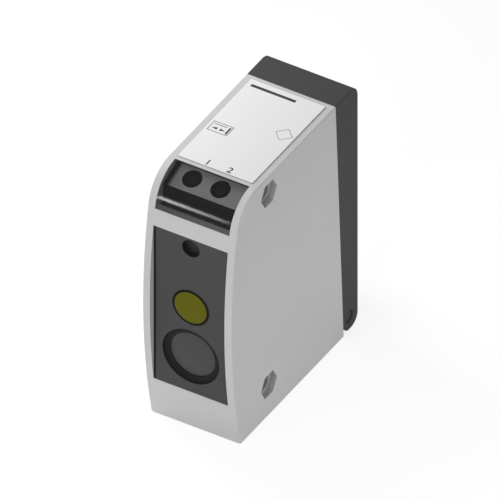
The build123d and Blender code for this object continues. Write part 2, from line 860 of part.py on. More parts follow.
# Receiver: board staked behind the tunnel, photodetector in its end and the filter in front of it
with BuildPart() as receiver_board:
    with BuildSketch(facing_front(receiver_board_back_y)):
        with Locations((board_middle_x, receiver_height)):
            Rectangle(board_width, receiver_board_height)
        with Locations(*stake_places):
            Rectangle(stake_side + 2 * screw_gap, stake_side + 2 * screw_gap, mode=Mode.SUBTRACT)
    extrude(amount=board_thickness)
receiver_board.part.label = "receiver_board"
export_step(receiver_board.part, "parts/receiver_board.step")

with BuildPart() as photodetector:
    with BuildSketch(facing_front(tunnel_end_y)):
        with Locations((0, receiver_height)):
            Rectangle(detector_side, detector_side)
    extrude(amount=detector_length)
photodetector.part.label = "photodetector"
export_step(photodetector.part, "parts/photodetector.step")

with BuildPart() as optical_filter:
    with BuildSketch(facing_front(tunnel_end_y - detector_length)):
        with Locations((0, receiver_height)):
            Rectangle(filter_side, filter_side)
    extrude(amount=filter_thickness)
optical_filter.part.label = "optical_filter"
export_step(optical_filter.part, "parts/optical_filter.step")

# Main board, upright in the rails, notched round the upper boss of the cover screws
board_foot_z = case_wall + fit_gap
board_head_z = roof_inside - fit_gap
notch = boss_side / 2 + 4 * fit_gap
with BuildPart() as main_board:
    with BuildSketch(Plane.YZ.offset(main_board_side)):
        with BuildLine():
            Polyline(
                (main_board_y, board_foot_z),
                (main_board_rear, board_foot_z),
                (main_board_rear, screw_high - notch),
                (seam_y_at(screw_high) - boss_length - notch / 4, screw_high - notch),
                (seam_y_at(screw_high) - boss_length - notch / 4, board_head_z),
                (main_board_y, board_head_z),
                close=True,
            )
        make_face()
    extrude(amount=board_thickness)
main_board.part.label = "main_board"
export_step(main_board.part, "parts/main_board.step")

# Square packages on the main board: setback, height over the middle, side and thickness
for package_name, package_setback, package_rise, package_side, package_thickness in (
    ("processor_chip", processor_setback, chip_rise, processor_side, processor_thickness),
    ("timing_chip", timing_setback, chip_rise, timing_side, timing_thickness),
    ("power_inductor", inductor_setback, inductor_rise, inductor_side, inductor_thickness),
):
    with BuildPart() as package:
        with BuildSketch(Plane.YZ.offset(main_board_side)):
            with Locations((main_board_y + package_setback, mid_height + package_rise)):
                Rectangle(package_side, package_side)
        extrude(amount=-package_thickness)
    package.part.label = package_name
    export_step(package.part, f"parts/{package_name}.step")

# Two upright capacitors on the main board
for capacitor_name, capacitor_y in (
    ("capacitor_1", main_board_y + capacitor_setback),
    ("capacitor_2", main_board_y + capacitor_setback + capacitor_pitch),
):
    with BuildPart() as capacitor:
        with BuildSketch(Plane.YZ.offset(main_board_side)):
            with Locations((capacitor_y, roof_inside - capacitor_drop)):
                Circle(capacitor_diameter / 2)
        extrude(amount=-capacitor_length)
    capacitor.part.label = capacitor_name
    export_step(capacitor.part, f"parts/{capacitor_name}.step")

# Header between the two boards and the socket of the flat cable
with BuildPart() as board_header:
    with BuildSketch(Plane.YZ.offset(main_board_side)):
        with Locations((receiver_board_back_y + header_section / 2, receiver_height)):
            Rectangle(header_section, header_length)
    extrude(amount=-header_section)
board_header.part.label = "board_header"
export_step(board_header.part, "parts/board_header.step")

cable_y = main_board_rear - cable_socket_inset
with BuildPart() as cable_socket:
    with BuildSketch(Plane.YZ.offset(main_board_side)):
        with Locations((cable_y, connector_height)):
            Rectangle(cable_socket_depth, cable_width + 2 * cable_socket_end)
    extrude(amount=-cable_socket_rise)
    with BuildSketch(Plane.YZ.offset(main_board_side - cable_socket_rise)):
        with Locations((cable_y, connector_height)):
            Rectangle(cable_thickness + 2 * contact_gap, cable_width + 2 * contact_gap)
    extrude(amount=cable_socket_rise / 2, mode=Mode.SUBTRACT)
cable_socket.part.label = "cable_socket"
export_step(cable_socket.part, "parts/cable_socket.step")

# Connector: shell with its mounting thread, hexagon flange and mating thread
tip_y = rear_y + hex_thickness + mating_length
shell_end_y = rear_y - cover_wall - nut_thickness - shell_tail
with BuildPart() as connector_shell:
    with BuildSketch(outlet):
        RegularPolygon(hex_flats / 2, 6, major_radius=False)
    extrude(amount=hex_thickness)
    with BuildSketch(outlet.offset(hex_thickness)):
        Circle(mating_thread / 2)
    extrude(amount=mating_length)
    chamfer(edges().group_by(Axis.Y)[-1], tip_chamfer)
    with BuildSketch(outlet):
        Circle(mount_thread / 2)
    extrude(amount=shell_end_y - rear_y)
    with BuildSketch(outlet):
        Circle(mount_thread / 2 + ring_gap + ring_width)
        Circle(mount_thread / 2 + ring_gap, mode=Mode.SUBTRACT)
    extrude(amount=ring_width, mode=Mode.SUBTRACT)
    with BuildSketch(outlet.offset(shell_end_y - rear_y)):
        Circle(socket_bore / 2)
    extrude(amount=tip_y - shell_end_y, mode=Mode.SUBTRACT)
connector_shell.part.label = "connector_shell"
export_step(connector_shell.part, "parts/connector_shell.step")

# Insulating insert with the key and a hole for each contact
contact_radius = contact_diameter / 2
contact_ring = contact_circle / 2
contact_tail = contact_radius * sqrt(2)
contact_places = [(0.0, 0.0)]
for contact_turn in (45, 135, 225, 315):
    contact_places.append(
        (contact_ring * cos(radians(contact_turn)), contact_ring * sin(radians(contact_turn)))
    )
socket_floor_y = tip_y - socket_depth
with BuildPart() as connector_insert:
    with BuildSketch(outlet.offset(shell_end_y - rear_y)):
        Circle(socket_bore / 2 - contact_gap)
    extrude(amount=socket_floor_y - shell_end_y)
    with BuildSketch(outlet.offset(socket_floor_y - rear_y)):
        Circle(socket_bore / 2 - contact_gap)
        with Locations((0, socket_bore / 2)):
            Rectangle(key_width, 2 * key_rise, mode=Mode.INTERSECT)
    extrude(amount=socket_depth - contact_setback)
    with BuildSketch(outlet.offset(shell_end_y - rear_y)):
        with Locations(*contact_places):
            Rectangle(contact_tail + 2 * contact_gap, contact_tail + 2 * contact_gap)
    extrude(amount=socket_floor_y - shell_end_y, mode=Mode.SUBTRACT)
connector_insert.part.label = "connector_insert"
export_step(connector_insert.part, "parts/connector_insert.step")

# Five contacts: a round pin in the socket, and a square tail through the insert to the board
connector_board_back_y = shell_end_y - connector_board_gap
for number, place in enumerate(contact_places, start=1):
    with BuildPart() as contact:
        with BuildSketch(outlet.offset(socket_floor_y - rear_y)):
            with Locations(place):
                Circle(contact_radius)
        extrude(amount=socket_depth - contact_setback)
        with BuildSketch(outlet.offset(socket_floor_y - rear_y)):
            with Locations(place):
                Rectangle(contact_tail, contact_tail)
        extrude(amount=connector_board_back_y - socket_floor_y)
    contact.part.label = f"contact_pin_{number}"
    export_step(contact.part, f"parts/contact_pin_{number}.step")

# Square ring in the groove under the flange of the connector
with BuildPart() as connector_seal:
    with BuildSketch(outlet):
        Circle(mount_thread / 2 + ring_gap + ring_width)
        Circle(mount_thread / 2 + ring_gap, mode=Mode.SUBTRACT)
    extrude(amount=ring_width)
connector_seal.part.label = "connector_seal"
export_step(connector_seal.part, "parts/connector_seal.step")

# Lock nut of the connector, inside the cover
with BuildPart() as connector_nut:
    with BuildSketch(outlet.offset(-cover_wall)):
        RegularPolygon(lock_nut_flats / 2, 6, major_radius=False)
        Circle(mount_thread / 2 + screw_gap, mode=Mode.SUBTRACT)
    extrude(amount=-nut_thickness)
connector_nut.part.label = "connector_nut"
export_step(connector_nut.part, "parts/connector_nut.step")

# Small board on the contacts, and the flat cable from it to the main board
with BuildPart() as connector_board:
    with BuildSketch(outlet.offset(connector_board_back_y - rear_y)):
        Rectangle(connector_board_side, connector_board_side)
    extrude(amount=-board_thickness)
connector_board.part.label = "connector_board"
export_step(connector_board.part, "parts/connector_board.step")

with BuildPart() as flat_cable:
    with BuildSketch(Plane.XY.offset(connector_height - cable_width / 2)):
        with BuildLine():
            FilletPolyline(
                (cable_side, connector_board_back_y - board_thickness),
                (cable_side, cable_y),
                (main_board_side - cable_socket_rise / 2, cable_y),
                radius=cable_bend,
            )
        trace(line_width=cable_thickness)
    extrude(amount=cable_width)
flat_cable.part.label = "flat_cable"
export_step(flat_cable.part, "parts/flat_cable.step")

# Label on the roof
with BuildPart() as top_label:
    with BuildSketch(Plane.XY.offset(case_height)):
        with Locations((0, nose_y + label_run + label_length / 2)):
            Rectangle(2 * opening_half, label_length)
    extrude(amount=label_thickness)
top_label.part.label = "top_label"
export_step(top_label.part, "parts/top_label.step")

# Round marker on the front plate
with BuildPart() as front_marker:
    with BuildSketch(facing_front(plate_front_y)):
        with Locations((0, marker_height)):
            Circle(marker_diameter / 2)
    extrude(amount=marker_thickness)
front_marker.part.label = "front_marker"
export_step(front_marker.part, "parts/front_marker.step")
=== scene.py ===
# %% [markdown]
# # An optical distance sensor, dressed for its portrait
#
# The object is a slim upright sensor head: a light grey moulded case, a dark cover over
# its back, and a dark front plate with a small laser opening and a dished receiving lens.
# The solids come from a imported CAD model, which stays as it is. These cells give every
# surface its real material, and add the few things that the solids lack: a cut label with
# its print, the thread of the connector, and the collars in the nut pockets.

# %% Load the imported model
import json
import math

import bmesh
import bpy
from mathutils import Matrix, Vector


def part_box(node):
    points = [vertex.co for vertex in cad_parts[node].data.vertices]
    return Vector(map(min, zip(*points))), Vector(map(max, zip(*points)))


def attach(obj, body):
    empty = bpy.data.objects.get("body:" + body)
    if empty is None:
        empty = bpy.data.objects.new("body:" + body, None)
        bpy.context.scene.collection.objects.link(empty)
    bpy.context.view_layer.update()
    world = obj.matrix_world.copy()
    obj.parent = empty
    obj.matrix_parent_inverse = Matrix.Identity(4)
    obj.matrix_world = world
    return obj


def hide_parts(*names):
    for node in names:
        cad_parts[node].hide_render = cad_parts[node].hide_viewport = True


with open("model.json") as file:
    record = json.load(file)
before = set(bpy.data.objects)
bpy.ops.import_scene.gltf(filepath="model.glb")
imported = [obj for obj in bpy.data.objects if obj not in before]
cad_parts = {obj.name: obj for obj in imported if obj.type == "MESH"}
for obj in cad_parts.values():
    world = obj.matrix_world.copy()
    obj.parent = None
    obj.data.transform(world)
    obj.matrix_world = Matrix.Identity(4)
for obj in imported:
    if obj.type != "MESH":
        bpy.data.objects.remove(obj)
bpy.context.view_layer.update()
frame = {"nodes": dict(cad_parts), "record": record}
nodes = frame["nodes"]
mm = 0.001

# %% [markdown]
# ## The camera
#
# The photograph looks down on the sensor's front right edge, and parallel edges stay
# parallel in it, so a very long lens or a drawing camera took it. An orthographic camera
# keeps that. Its turn and tilt were solved from the directions of the case's edges, and
# its width from the pixels that one millimetre covers.

# %% Point the camera
image_side = 500
pixels_per_mm = 3.396
origin_pixel = (247.50, 374.36)
turn = math.radians(30.95)
tilt = math.radians(38.73)
camera_distance = 0.6
far_limit = 10
right = Vector((math.cos(turn), math.sin(turn), 0))
forward = Vector((-math.sin(turn) * math.cos(tilt), math.cos(turn) * math.cos(tilt), -math.sin(tilt)))
upward = right.cross(forward)
aside = (image_side / 2 - origin_pixel[0]) / pixels_per_mm * mm
above = (origin_pixel[1] - image_side / 2) / pixels_per_mm * mm

camera = bpy.data.objects.new("portrait_camera", bpy.data.cameras.new("portrait_camera"))
camera.data.type = "ORTHO"
camera.data.ortho_scale = image_side / pixels_per_mm * mm
camera.data.clip_end = far_limit
camera.location = right * aside + upward * above - forward * camera_distance
camera.rotation_euler = forward.to_track_quat("-Z", "Y").to_euler()
bpy.context.scene.collection.objects.link(camera)
bpy.context.scene.camera = camera
print("camera at", [round(c, 3) for c in camera.location], "m")
print("view", round(camera.data.ortho_scale / mm, 1), "mm wide")

# %% [markdown]
# ## Colours and nodes
#
# Colours are written as the hex values that a screen shows, and a renderer works with
# linear light, so one function turns one into the other. A second small function adds a
# shader node, sets its values and links its inputs. Every material below is built from
# these two.

# %% Two helpers
def linear(hex_colour):
    """RGBA in linear light from a hex colour such as '#cfcfcf'."""
    channels = [int(hex_colour[i : i + 2], 16) / 255 for i in (1, 3, 5)]
    return [c / 12.92 if c <= 0.04045 else ((c + 0.055) / 1.055) ** 2.4 for c in channels] + [1.0]


def put(material, kind, settings=None, links=None):
    """Add one node to a material, set its values and link its inputs, and return it."""
    node = material.node_tree.nodes.new(kind)
    for name, value in (settings or {}).items():
        if isinstance(name, int) or name in node.inputs:
            node.inputs[name].default_value = value
        else:
            setattr(node, name, value)
    for name, socket in (links or {}).items():
        material.node_tree.links.new(socket, node.inputs[name])
    return node


print("mid grey #808080 is", round(linear("#808080")[0], 3), "in linear light")

# %% [markdown]
# ## Where a colour ends
#
# Some CAD solids show two tones: the dish of the front plate is blacker than the plate,
# and the sticker has a dark rim. Splitting the solid would be one way. It is easier to
# let the material measure how far a point lies from an axis, or beyond a plane, and to
# turn that distance into a mask with a thin soft edge.

# %% Masks from places in millimetres
mask_edge = 0.08


def round_mask(material, place, centre, radius, edge=mask_edge, along=(1, 0, 1)):
    """1 within `radius` mm of the axis through `centre`, whose own direction has 0 in `along`."""
    from_centre = put(
        material, "ShaderNodeVectorMath", {"operation": "SUBTRACT", 1: [c * mm for c in centre]}, {0: place},
    )
    across = put(
        material, "ShaderNodeVectorMath", {"operation": "MULTIPLY", 1: along},
        {0: from_centre.outputs["Vector"]},
    )
    distance = put(material, "ShaderNodeVectorMath", {"operation": "LENGTH"}, {0: across.outputs["Vector"]})
    limits = {"From Min": (radius - edge / 2) * mm, "From Max": (radius + edge / 2) * mm}
    limits |= {"To Min": 1.0, "To Max": 0.0}
    return put(material, "ShaderNodeMapRange", limits, {"Value": distance.outputs["Value"]}).outputs["Result"]


def side_mask(material, place, direction, start, edge=mask_edge):
    """1 where a point lies more than `start` mm along `direction`, else 0."""
    height = put(material, "ShaderNodeVectorMath", {"operation": "DOT_PRODUCT", 1: direction}, {0: place})
    limits = {"From Min": (start - edge / 2) * mm, "From Max": (start + edge / 2) * mm}
    return put(material, "ShaderNodeMapRange", limits, {"Value": height.outputs["Value"]}).outputs["Result"]


print("a mask fades over", mask_edge, "mm")

# %% [markdown]
# ## A surface with grain
#
# Nothing moulded, rolled or turned is perfectly even. Under a studio light the eye finds
# a fine relief, and a gloss and a tone that wander a little from place to place. This
# function gives a material those three things, each at a size in real millimetres. The
# grain of a spark-eroded mould is 0.05 to 0.2 mm wide, which is finer than a pixel here,
# so it is drawn a few times coarser where it should still be felt.

# %% A function for grained surfaces
cloud_width = 18
gloss_spread = 0.04


def grained(
    name, colour, roughness, grain=0.4, relief=0.004, wander=0.03, stretch=(1, 1, 1), masks=(), **settings,
):
    """A material with a relief `grain` mm wide and `relief` mm high, whose tone wanders by `wander`."""
    material = bpy.data.materials.new(name)
    material.use_nodes = True
    material.node_tree.nodes.clear()
    place = put(material, "ShaderNodeTexCoord").outputs["Object"]
    pulled = put(material, "ShaderNodeVectorMath", {"operation": "MULTIPLY", 1: stretch}, {0: place})
    fine = put(
        material, "ShaderNodeTexNoise", {"Scale": 1 / (grain * mm), "Detail": 2.0},
        {"Vector": pulled.outputs["Vector"]},
    )
    broad = put(
        material, "ShaderNodeTexNoise", {"Scale": 1 / (cloud_width * mm), "Detail": 3.0}, {"Vector": place},
    )
    level = put(
        material, "ShaderNodeMapRange", {"To Min": 1 - wander, "To Max": 1 + wander},
        {"Value": broad.outputs["Fac"]},
    )
    tone = put(
        material, "ShaderNodeHueSaturation", {"Color": linear(colour)}, {"Value": level.outputs["Result"]},
    ).outputs["Color"]
    for mask, other_colour in masks:
        tone = put(
            material, "ShaderNodeMix", {"data_type": "RGBA", 7: linear(other_colour)},
            {0: mask(material, place), 6: tone},
        ).outputs[2]
    gloss = put(
        material, "ShaderNodeMapRange",
        {"To Min": roughness - gloss_spread, "To Max": roughness + gloss_spread},
        {"Value": fine.outputs["Fac"]},
    )
    bump = put(
        material, "ShaderNodeBump", {"Strength": 1.0, "Distance": relief * mm}, {"Height": fine.outputs["Fac"]},
    )
    shader = put(
        material, "ShaderNodeBsdfPrincipled", settings,
        {"Base Color": tone, "Roughness": gloss.outputs["Result"], "Normal": bump.outputs["Normal"]},
    )
    put(material, "ShaderNodeOutputMaterial", {}, {"Surface": shader.outputs["BSDF"]})
    return material


print("tone clouds are", cloud_width, "mm wide, and roughness wanders by", gloss_spread)

# %% A function that dresses CAD nodes
def dress(material, *names):
    """Put a material on the named CAD nodes."""
    for name in names:
        mesh = nodes[name].data
        mesh.materials.clear()
        mesh.materials.append(material)
    print(material.name, "on", ", ".join(names))


# %% [markdown]
# ## The moulded case and its cover
#
# Sensor housings are injection moulded in ABS, a tough matt plastic. The mould is spark
# eroded, which leaves an even fine grain and no gloss, so that the case looks almost like
# paper under soft light. The cover is the same plastic in a dark grey. The walls of the nut
# pockets get a darker tone, which is painted shade, for they lie deep in shade.

# %% A mask of painted shade for the pocket walls
half_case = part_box("housing")[1][0] / mm
bores = [[c / mm for c in mount["pos_m"]] for mount in frame["record"]["mounts"] if mount["kind"] == "bore"]
pocket_reach = 4.75
skin = 0.1


def pocket_wall_painted_shade(material, place):
    """1 near a bore and below the side faces, so on the walls of the nut pockets, where shade is painted."""
    near = [round_mask(material, place, bore, pocket_reach, along=(0, 1, 1)) for bore in bores]
    either = put(material, "ShaderNodeMath", {"operation": "MAXIMUM"}, {0: near[0], 1: near[1]})
    mirrored = put(material, "ShaderNodeVectorMath", {"operation": "ABSOLUTE"}, {0: place})
    below = side_mask(material, mirrored.outputs["Vector"], (-1, 0, 0), skin - half_case)
    both = put(
        material, "ShaderNodeMath", {"operation": "MULTIPLY"}, {0: either.outputs["Value"], 1: below},
    )
    return both.outputs["Value"]


print(len(bores), "bores, at", [(round(y, 1), round(z, 1)) for _, y, z in bores], "mm")

# %% Case and cover
# ABS from an eroded mould: the eye sees a flat tone with hardly any highlight
# The darker tone on the pocket walls is painted shade
housing_abs = grained(
    "moulded_abs_grey", "#d2d2d2", 0.55, grain=0.35, relief=0.003, masks=[(pocket_wall_painted_shade, "#b8b8b8")], IOR=1.53,
)
dress(housing_abs, "housing")
# The same plastic in dark grey: duller still, so that no highlight greys it
matt_settings = {"IOR": 1.53, "Specular IOR Level": 0.15}
cover_abs = grained("moulded_abs_dark", "#4c4c4d", 0.6, grain=0.5, relief=0.01, wander=0.04, **matt_settings)
dress(cover_abs, "rear_cover")

# %% [markdown]
# ## The front plate
#
# The plate is a satin moulding in the same dark grey, set a hair behind the frame. Two
# openings are sunk into it, and both are painted black inside, so that stray light isn't
# thrown into the receiver. Along the plate's left edge a dark line is painted: the shadow
# in the gap beside the frame.

# %% Plate with its black openings
emitter_low, emitter_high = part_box("emitter_window")
receiver_low, receiver_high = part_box("receiver_lens")
emitter_z = (emitter_low[2] + emitter_high[2]) / 2 / mm
receiver_z = (receiver_low[2] + receiver_high[2]) / 2 / mm
plate_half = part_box("front_plate")[1][0] / mm
dish_radius = 9.75
emitter_radius = 3.02
shadow_strip_width = 0.7


def dish_paint(material, place):
    """1 within the dish of the receiving opening."""
    return round_mask(material, place, (0, 0, receiver_z), dish_radius)


def emitter_paint(material, place):
    """1 within the small opening of the laser."""
    return round_mask(material, place, (0, 0, emitter_z), emitter_radius)


def plate_left_painted_shadow(material, place):
    """1 on the narrow strip along the plate's left edge, where a shadow is painted."""
    return side_mask(material, place, (-1, 0, 0), plate_half - shadow_strip_width)


# ABS with a coarser, deeper grain: the eye feels a dry, slightly pebbled surface
# The dark strip along the plate's left edge is a painted shadow
plate_abs = grained(
    "moulded_plate_abs", "#4e4e4f", 0.6, grain=0.6, relief=0.02,
    masks=[(dish_paint, "#222223"), (emitter_paint, "#1d1d1e"), (plate_left_painted_shadow, "#1a1a1a")], **matt_settings,
)
dress(plate_abs, "front_plate")
print("emitter at", round(emitter_z, 1), "mm, receiver at", round(receiver_z, 1), "mm")
print("plate", round(2 * plate_half, 1), "mm wide")

# %% [markdown]
# ## The two optical windows
#
# Both pass only the infrared or red light of the laser. The lens is acrylic with a dye
# that looks dark grey from outside, moulded and left satin. The small window over the
# laser is polycarbonate, and it looks nearly black because nothing behind it is lit.

# %% Lens and emitter window
# Acrylic, dyed in the mass: a soft broad highlight over a deep grey
lens_settings = {"IOR": 1.49, "Specular IOR Level": 0.35}
lens_acrylic = grained("dyed_acrylic", "#474748", 0.42, grain=2.5, relief=0.0002, wander=0.05, **lens_settings)
dress(lens_acrylic, "receiver_lens")
# Polycarbonate in the dark: only its surface gloss is left to see
emitter_settings = {"IOR": 1.585, "Specular IOR Level": 0.15}
emitter_pc = grained("dark_polycarbonate", "#282829", 0.4, grain=2.5, relief=0.0002, **emitter_settings)
dress(emitter_pc, "emitter_window")

# %% [markdown]
# ## Lamps behind the shoulder
#
# A smoky clear window bends over the shoulder. Behind it stands a block with a tilted
# grey face and two wells, and a lamp that is off lies at the bottom of each. All of the
# block below its grey face, the wells too, is painted dark as shade. Clear plastic could
# be made with transmission and refraction. Here the sheet is thin and follows the
# shoulder, so a partly transparent shader gives the same picture, and it lets light
# through to the block in one straight step, which a renderer finds easily.

# %% The smoky window
# Dyed polycarbonate, polished in the mould: half clear, with a crisp reflection
window_settings = {"IOR": 1.585, "Alpha": 0.32}
window_pc = grained(
    "smoky_polycarbonate", "#101114", 0.11, grain=3.0, relief=0.0002, wander=0.02, **window_settings,
)
dress(window_pc, "indicator_window")

# %% The block, with painted shade, and its lamps
lamp_tilt = math.radians(20)
face_direction = (0, -math.sin(lamp_tilt), math.cos(lamp_tilt))
point_on_face = (0, -22.55, 87.06)
face_height = sum(a * b for a, b in zip(face_direction, point_on_face))
shadow_start = 10.9
shadow_fade = 1.2


def block_face(material, place):
    """1 on the tilted face of the block, 0 on all that lies below it."""
    return side_mask(material, place, face_direction, face_height - skin)


def left_end_painted_shadow(material, place):
    """1 on the last stretch of the block's left end, where a shadow is painted with a soft edge."""
    return side_mask(material, place, (-1, 0, 0), shadow_start, edge=shadow_fade)


# Grey face of the block; below it, the wells, front and foot are painted dark as shade, and its left end
# carries a painted shadow
block_with_painted_shade = grained(
    "abs_block_painted_shade", "#303031", 0.55, grain=0.6, relief=0.002,
    masks=[(block_face, "#e0e0e2"), (left_end_painted_shadow, "#303031")], **matt_settings,
)
dress(block_with_painted_shade, "indicator_block")
# Clear epoxy over a dark chip: off, it only glints
lamp_epoxy = grained("clear_lamp_epoxy", "#26262a", 0.15, grain=1.0, relief=0.0002, IOR=1.5)
dress(lamp_epoxy, "indicator_led_left", "indicator_led_right")

# %% [markdown]
# ## Sticker
#
# A round yellow sticker with a black rim marks the front. It is printed vinyl, flat and
# slightly glossy, and both tones come from one material that measures the distance from
# the sticker's middle.

# %% Round sticker
marker_low, marker_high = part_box("front_marker")
marker_z = (marker_low[2] + marker_high[2]) / 2 / mm
marker_radius = (marker_high[0] - marker_low[0]) / 2 / mm
rim_width = 0.75


def sticker_middle(material, place):
    """1 within the rim of the sticker."""
    return round_mask(material, place, (0, 0, marker_z), marker_radius - rim_width)


# Printed vinyl: flat and even, with an edge between its tones as sharp as ink gives
marker_settings = {"IOR": 1.52, "Specular IOR Level": 0.1}
marker_vinyl = grained(
    "printed_vinyl", "#0b0b0b", 0.45, grain=0.8, relief=0.001,
    masks=[(sticker_middle, "#666404")], **marker_settings,
)
dress(marker_vinyl, "front_marker")
print("sticker", round(2 * marker_radius, 1), "mm across")

# %% [markdown]
# ## The metals
#
# Each metal is told by its colour and by how it was worked. Nickel over brass is a warm
# grey, turned on a lathe, so its fine marks run round the axis. Zinc on the screws is
# duller and cloudy, aluminium is bright and turned, and the contacts are gold.

# %% Metals
# Squeezed across the axis, the noise is drawn out into rings round it, as tool marks are
turned = (0.05, 1.0, 0.05)
# Nickel over turned brass: a warm grey whose highlight breaks into fine rings
nickel = grained(
    "nickel_plated_brass", "#b9b4aa", 0.28, grain=0.25, relief=0.002, stretch=turned, Metallic=1.0,
)
dress(nickel, "connector_nut")
# Gold over turned pins: small and bright, the one strong colour on the back
gold = grained("gold_plated_contact", "#d8b45f", 0.22, grain=0.3, relief=0.001, stretch=turned, Metallic=1.0)
dress(gold, *[f"contact_pin_{number}" for number in range(1, 6)])
# Zinc from a bath: cloudy, with a wide soft highlight
zinc = grained("zinc_plated_steel", "#a9abae", 0.38, grain=0.5, relief=0.002, wander=0.1, Metallic=1.0)
dress(zinc, "cover_screws", "laser_diode", "photodetector")
# Aluminium from the lathe: the brightest of them, and neutral
aluminium = grained("turned_aluminium", "#c6c7c9", 0.3, grain=0.3, relief=0.002, stretch=turned, Metallic=1.0)
dress(aluminium, "laser_barrel", "capacitor_1", "capacitor_2")

# %% [markdown]
# ## Rubber, boards and what they carry
#
# The seals are moulded nitrile, matt black with a bloom. The circuit boards are glass
# laminate under a green solder mask, and their parts sit in matt black epoxy. The carrier
# of the optics is black glass-filled polycarbonate, and the ribbon is polyester film.

# %% Seals and boards
# Moulded rubber: matt, with a pale bloom in places
nitrile = grained("moulded_nitrile", "#1c1c1d", 0.75, grain=0.5, relief=0.006, wander=0.12, IOR=1.52)
dress(nitrile, "front_seal", "lens_seal", "cover_gasket", "connector_seal")
# Lacquer over a glass weave: satin green, with the weave as a faint relief
weave = (1, 1, 0.15)
solder_mask = grained(
    "green_solder_mask", "#1f4a30", 0.35, grain=0.5, relief=0.01, wander=0.1, stretch=weave, IOR=1.55,
)
dress(solder_mask, "main_board", "receiver_board", "indicator_board", "connector_board")
# Epoxy pressed round the chips: dull black with a fine tooth
package_epoxy = grained("moulded_epoxy", "#232325", 0.6, grain=0.3, relief=0.004, IOR=1.55)
dress(package_epoxy, "processor_chip", "timing_chip", "power_inductor", "board_header", "cable_socket")

# %% Insert, carrier, glass and ribbon
# Polyamide, moulded: a waxy black
insert_polyamide = grained("black_polyamide", "#1a1a1b", 0.5, grain=0.4, relief=0.003, IOR=1.53)
dress(insert_polyamide, "connector_insert")
# Polycarbonate with glass fibres: they lie along the flow and streak the surface
flow = (1, 0.3, 1)
carrier_pc = grained(
    "glass_filled_polycarbonate", "#222224", 0.6, grain=0.6, relief=0.006, stretch=flow, IOR=1.585,
)
dress(carrier_pc, "optics_carrier")
# Polished glass with a coating: a mirror-sharp highlight
coated_glass = grained("coated_glass", "#b9c4cc", 0.06, grain=4.0, relief=0.0001, IOR=1.52)
dress(coated_glass, "collimating_lens", "optical_filter")
# Polyester film over flat conductors: the conductors show as fine ribs
conductors = (1, 0.02, 0.02)
cable_film = grained(
    "polyester_cable_film", "#d4d6d4", 0.4, grain=1.0, relief=0.02, stretch=conductors, IOR=1.6,
)
dress(cable_film, "flat_cable")

# %% [markdown]
# ## A mesh that is shaded well
#
# New pieces are built with bmesh, which makes faces from points. Curved stretches should
# look smooth and corners should stay crisp, so this function marks every edge whose two
# faces meet at more than a set angle as sharp.

# %% Finish a new piece
def make_piece(name, mesh, *materials, sharp=math.radians(30)):
    """Turn a bmesh into an object with materials, smooth faces and sharp corners."""
    bmesh.ops.recalc_face_normals(mesh, faces=mesh.faces)
    for face in mesh.faces:
        face.smooth = True
    for edge in mesh.edges:
        edge.smooth = len(edge.link_faces) == 2 and edge.calc_face_angle() < sharp
    data = bpy.data.meshes.new(name)
    mesh.to_mesh(data)
    mesh.free()
    for material in materials:
        data.materials.append(material)
    piece = bpy.data.objects.new(name, data)
    bpy.context.scene.collection.objects.link(piece)
    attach(piece, "root")
    print(name, "has", len(data.polygons), "faces")
    return piece


# %% Raise a flat plate from its outline
def raise_outline(mesh, points, low, high):
    """A flat plate with that outline, from height `low` to height `high`, all in mm."""
    floor_loop = [mesh.verts.new((x * mm, y * mm, low * mm)) for x, y in points]
    top_loop = [mesh.verts.new((x * mm, y * mm, high * mm)) for x, y in points]
    mesh.faces.new(floor_loop)
    mesh.faces.new(top_loop)
    sides = []
    for i in range(len(points)):
        j = (i + 1) % len(points)
        sides.append(mesh.faces.new((floor_loop[i], floor_loop[j], top_loop[j], top_loop[i])))
    return sides


# %% [markdown]
# ## The label
#
# The label is polyester film, die cut and stuck on the roof. Its face is white and satin,
# and its cut edge is painted as shade: dark along the sides, lighter in front. The CAD slab
# has square corners and one colour, so a cut sheet stands in for it, a hundredth of a
# millimetre lower to leave room for the ink.

# %% Outline of the label
label_low, label_high = [[c / mm for c in corner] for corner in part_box("top_label")]
ink_thickness = 0.012
sheet_top = label_high[2] - ink_thickness
corner_radius = 0.35
corner_steps = 5
outline = []
for quarter, (x, y) in enumerate((
    (label_high[0], label_high[1]), (label_low[0], label_high[1]),
    (label_low[0], label_low[1]), (label_high[0], label_low[1]),
)):
    centre_x = x - math.copysign(corner_radius, x - (label_low[0] + label_high[0]) / 2)
    centre_y = y - math.copysign(corner_radius, y - (label_low[1] + label_high[1]) / 2)
    for step in range(corner_steps + 1):
        angle = math.pi / 2 * (quarter + step / corner_steps)
        outline.append((centre_x + corner_radius * math.cos(angle), centre_y + corner_radius * math.sin(angle)))
print("label", round(label_high[0] - label_low[0], 1), "x", round(label_high[1] - label_low[1], 1), "mm")

# %% Cut the label
# Polyester film, satin: a clean white with the faintest sheen
label_film = grained("printed_polyester_film", "#f8f8f8", 0.4, grain=0.6, relief=0.001, wander=0.01, IOR=1.57)


def front_edge_painted_light(material, place):
    """1 on the front end of the label's cut edge, which is painted lighter, as lit."""
    return side_mask(material, place, (0, -1, 0), -label_low[1] - corner_radius / 2)


# Its cut edge is painted with shade: dark along the sides, lighter in front where it is lit
label_edge_painted_shade = grained("cut_film_edge_painted_shade", "#4a4a4b", 0.7, grain=0.3, relief=0.002, masks=[(front_edge_painted_light, "#9a9a9b")])
sheet = bmesh.new()
for side in raise_outline(sheet, outline, label_low[2], sheet_top):
    side.material_index = 1
label_sheet = make_piece("label_sheet", sheet, label_film, label_edge_painted_shade)
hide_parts("top_label")

# %% [markdown]
# ## The print
#
# Screen-printed ink lies on the film as a layer about ten micrometres thick. A texture
# could carry it, but then it would blur, so each mark is a thin plate of its own outline.
# The lamps are numbered, a small diagram explains the beam, and a plain bar and an empty
# diamond fill the two other fields.

